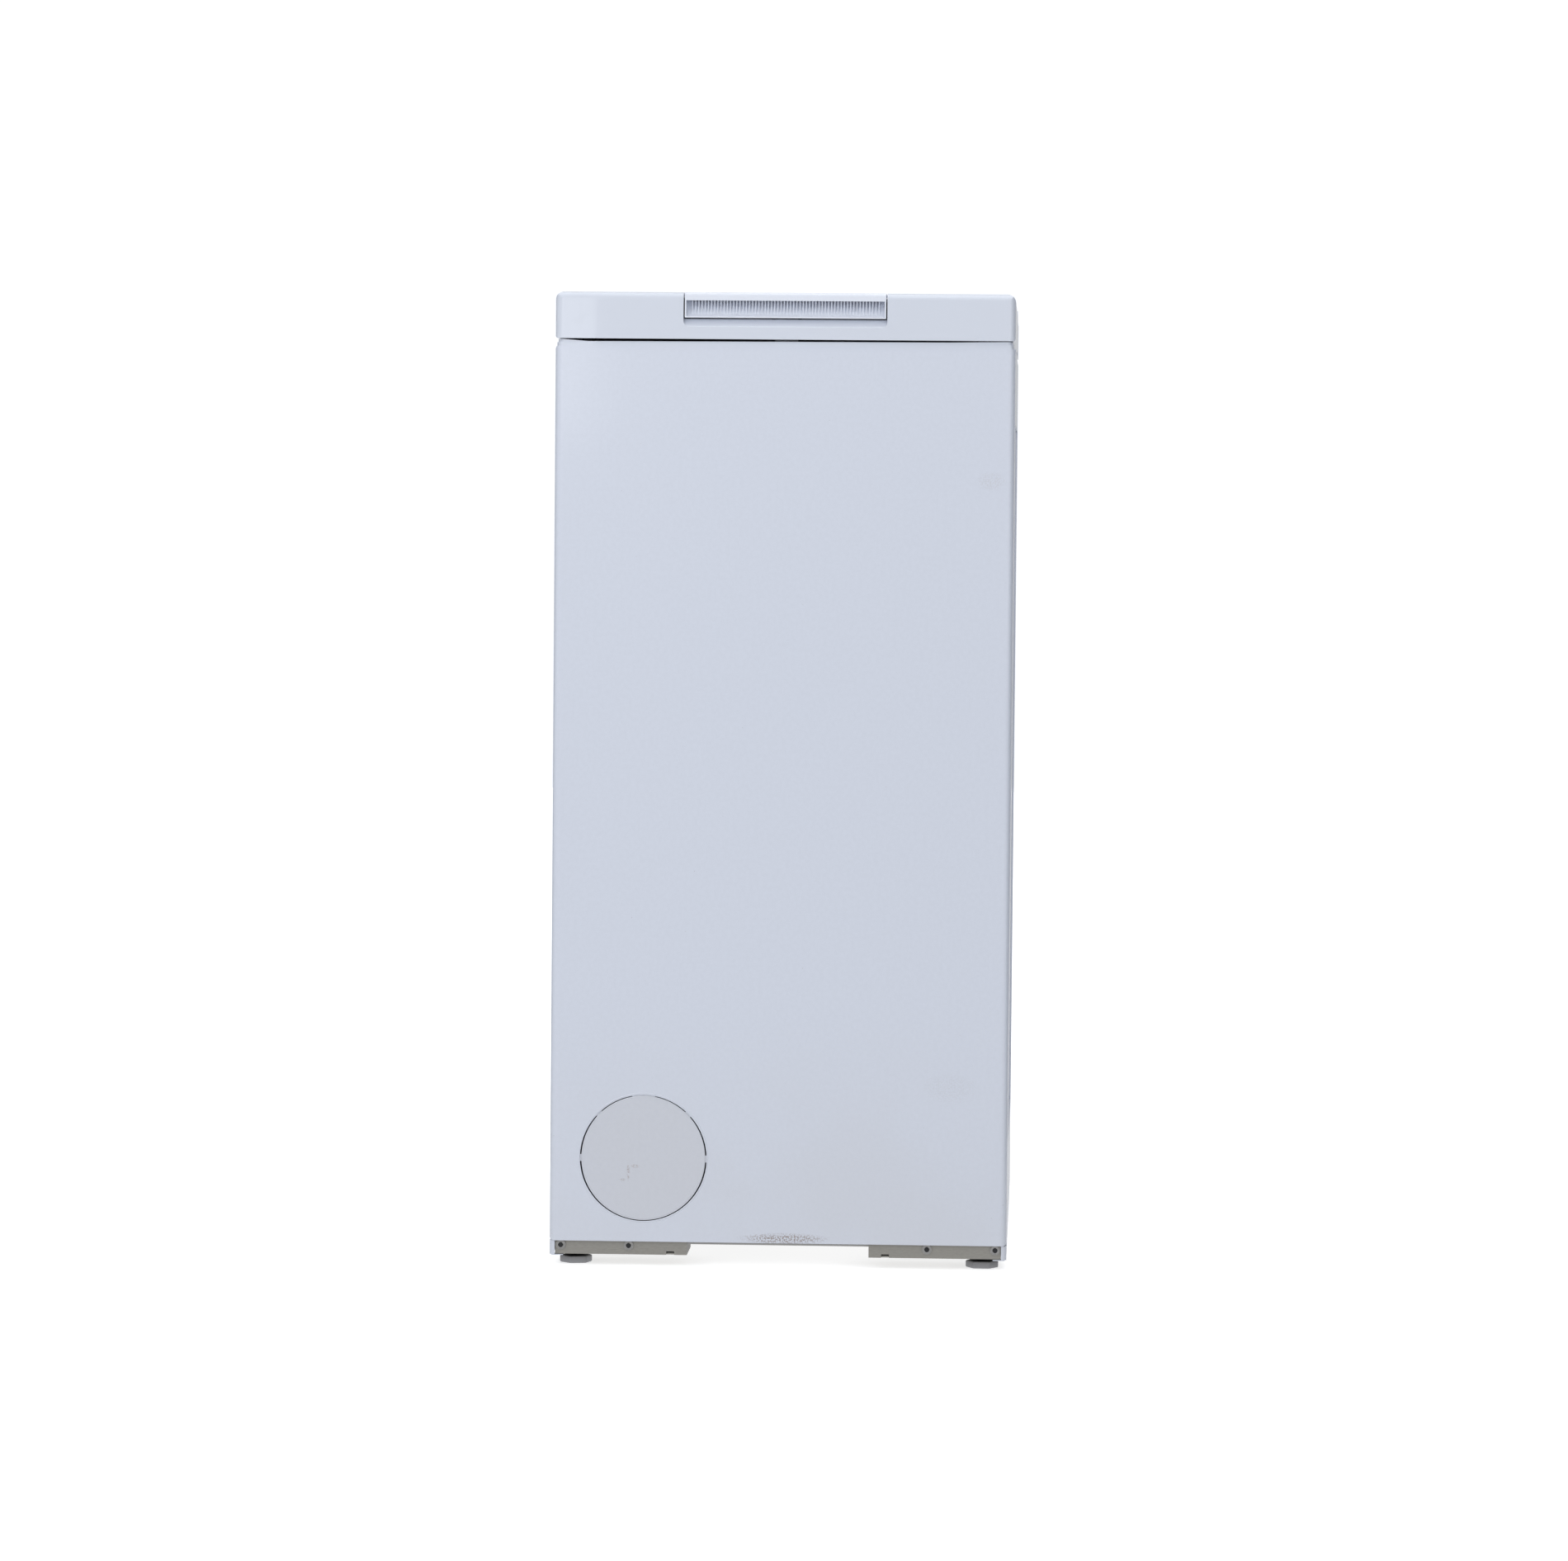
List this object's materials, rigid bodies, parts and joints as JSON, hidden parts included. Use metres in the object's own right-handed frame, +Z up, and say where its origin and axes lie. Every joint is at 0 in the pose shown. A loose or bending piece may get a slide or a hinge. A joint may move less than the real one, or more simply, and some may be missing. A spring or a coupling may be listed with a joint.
{
  "type": "top load washing machine",
  "caption": "Narrow top load washing machine with a hinged lid, a level-axis drum with a hatch, a round service cap and levelling feet.",
  "frame": {"origin": "centre of the footprint, on the floor", "axes": "+X to the right seen from the front, +Y to the back, +Z up"},
  "size_m": [0.4, 0.6, 0.85],
  "materials": {
    "enamel": "glossy bluish white enamel",
    "lid_plastic": "smooth white plastic",
    "handle_plastic": "smooth white plastic",
    "inner_plastic": "satin white plastic",
    "galvanised": "zinc coated sheet steel",
    "bracket": "grey beige coated steel",
    "base": "light grey coated steel",
    "screw": "zinc plated",
    "board": "green circuit board",
    "window": "smoked clear plastic",
    "lock": "off-white plastic",
    "key": "pale grey plastic",
    "knob": "pale grey plastic",
    "pump": "dark grey plastic",
    "filter": "off-white plastic",
    "valve": "white plastic",
    "rubber": "black rubber",
    "bellows": "grey rubber",
    "damper": "grey plastic",
    "spring": "spring steel",
    "tub": "pale grey filled plastic",
    "stainless": "polished stainless steel",
    "machined": "machined steel",
    "weight": "cast concrete",
    "heater": "heat stained steel",
    "motor": "dark coated steel",
    "pulley": "cast aluminium",
    "paddle": "white plastic",
    "siphon": "blue plastic",
    "latch": "blue plastic",
    "foot": "grey plastic"
  },
  "bodies": {
    "cabinet": {"front_panel": "enamel", "left_side_panel": "enamel", "right_side_panel": "enamel", "rear_panel": "galvanised", "rear_access_cover": "galvanised", "base_frame": "base", "left_foot_bracket": "bracket", "right_foot_bracket": "bracket", "case_screws": "screw", "top_frame": "lid_plastic", "cross_rails": "galvanised", "console": "lid_plastic", "control_board": "board", "display_window": "window", "door_lock": "lock", "inlet_valve": "valve", "drain_pump": "pump", "outlet_pipe": "rubber", "sump_hose": "rubber", "mains_gland": "rubber", "damper_housings": "damper", "suspension_springs": "spring", "tub_bellows": "bellows"},
    "lid": {"lid_outer": "lid_plastic", "lid_inner": "inner_plastic", "dispenser_tray": "inner_plastic", "softener_siphon": "siphon", "lid_buffers": "rubber", "lid_pins": "machined"},
    "handle": {"handle": "handle_plastic"},
    "program_knob": {"program_knob": "knob"},
    "start_button": {"start_button": "key"},
    "temperature_button": {"temperature_button": "key"},
    "spin_button": {"spin_button": "key"},
    "option_button": {"option_button": "key"},
    "service_cap": {"service_cap": "enamel"},
    "pump_filter": {"pump_filter": "filter"},
    "front_left_foot": {"front_left_foot": "foot"},
    "front_right_foot": {"front_right_foot": "foot"},
    "rear_left_foot": {"rear_left_foot": "foot"},
    "rear_right_foot": {"rear_right_foot": "foot"},
    "wash_unit": {"tub_shell": "tub", "left_tub_cover": "tub", "right_tub_cover": "tub", "bearings": "machined", "shaft_seals": "rubber", "counterweights": "weight", "heater": "heater", "motor": "motor", "drive_belt": "rubber", "damper_rods": "machined"},
    "drum": {"drum_shell": "stainless", "drum_paddles": "paddle", "drum_shafts": "machined", "drum_pulley": "pulley", "flap_pins": "machined"},
    "front_flap": {"front_flap": "stainless"},
    "rear_flap": {"rear_flap": "stainless"},
    "flap_latch": {"flap_latch": "latch"},
    "motor_pulley": {"motor_pulley": "machined"}
  },
  "joints": [
    {"name": "lid_hinge", "type": "hinge", "parent": "cabinet", "child": "lid", "pos_m": [0, 0.126, 0.838], "axis": [-1, 0, 0], "range_deg": [0, 95]},
    {"name": "front_flap_hinge", "type": "hinge", "parent": "drum", "child": "front_flap", "pos_m": [-0.01, -0.105, 0.64463], "axis": [1, 0, 0], "range_deg": [0, 84]},
    {"name": "rear_flap_hinge", "type": "hinge", "parent": "drum", "child": "rear_flap", "pos_m": [-0.01, 0.105, 0.64463], "axis": [-1, 0, 0], "range_deg": [0, 84]},
    {"name": "drum_spin", "type": "hinge", "parent": "wash_unit", "child": "drum", "pos_m": [-0.01, 0, 0.44], "axis": [1, 0, 0], "range_deg": [-360, 360]},
    {"name": "handle_pivot", "type": "hinge", "parent": "lid", "child": "handle", "pos_m": [0, -0.267, 0.846], "axis": [-1, 0, 0], "range_deg": [0, 12], "stiffness_Nm_per_rad": 1.2, "springref_deg": -6.88},
    {"name": "service_cap_pull", "type": "slide", "parent": "cabinet", "child": "service_cap", "axis": [0, -1, 0], "range_m": [0, 0.06]},
    {"name": "filter_turn", "type": "hinge", "parent": "cabinet", "child": "pump_filter", "pos_m": [-0.118, -0.284, 0.095], "axis": [0, 1, 0], "range_deg": [-90, 0]},
    {"name": "knob_turn", "type": "hinge", "parent": "cabinet", "child": "program_knob", "pos_m": [-0.125, 0.205, 0.84], "axis": [0, 0, 1], "continuous": true},
    {"name": "start_press", "type": "slide", "parent": "cabinet", "child": "start_button", "axis": [0, 0, -1], "range_m": [0, 0.0015], "stiffness_N_per_m": 600, "springref_m": -0.001},
    {"name": "temperature_press", "type": "slide", "parent": "cabinet", "child": "temperature_button", "axis": [0, 0, -1], "range_m": [0, 0.0015], "stiffness_N_per_m": 600, "springref_m": -0.001},
    {"name": "spin_press", "type": "slide", "parent": "cabinet", "child": "spin_button", "axis": [0, 0, -1], "range_m": [0, 0.0015], "stiffness_N_per_m": 600, "springref_m": -0.001},
    {"name": "option_press", "type": "slide", "parent": "cabinet", "child": "option_button", "axis": [0, 0, -1], "range_m": [0, 0.0015], "stiffness_N_per_m": 600, "springref_m": -0.001},
    {"name": "tub_suspension", "type": "slide", "parent": "cabinet", "child": "wash_unit", "axis": [0, 0, 1], "range_m": [-0.012, 0.008], "stiffness_N_per_m": 20000, "deforming": ["suspension_springs", "tub_bellows", "sump_hose"]},
    {"name": "flap_latch_slide", "type": "slide", "parent": "front_flap", "child": "flap_latch", "axis": [0, -1, 0], "range_m": [0, 0.005], "stiffness_N_per_m": 300, "springref_m": -0.002},
    {"name": "front_left_foot_turn", "type": "hinge", "parent": "cabinet", "child": "front_left_foot", "pos_m": [-0.1785, -0.27, 0.02], "axis": [0, 0, 1], "range_deg": [0, 360]},
    {"name": "front_right_foot_turn", "type": "hinge", "parent": "cabinet", "child": "front_right_foot", "pos_m": [0.1785, -0.27, 0.02], "axis": [0, 0, 1], "range_deg": [0, 360]},
    {"name": "rear_left_foot_turn", "type": "hinge", "parent": "cabinet", "child": "rear_left_foot", "pos_m": [-0.1785, 0.235, 0.02], "axis": [0, 0, 1], "range_deg": [0, 360]},
    {"name": "rear_right_foot_turn", "type": "hinge", "parent": "cabinet", "child": "rear_right_foot", "pos_m": [0.1785, 0.235, 0.02], "axis": [0, 0, 1], "range_deg": [0, 360]},
    {"name": "motor_spin", "type": "hinge", "parent": "wash_unit", "child": "motor_pulley", "pos_m": [0.13, 0.09, 0.11], "axis": [1, 0, 0], "range_deg": [-4260, 4260]}
  ],
  "couplings": [
    {"joint": "motor_spin", "follows": "drum_spin", "ratio": 11.818}
  ]
}
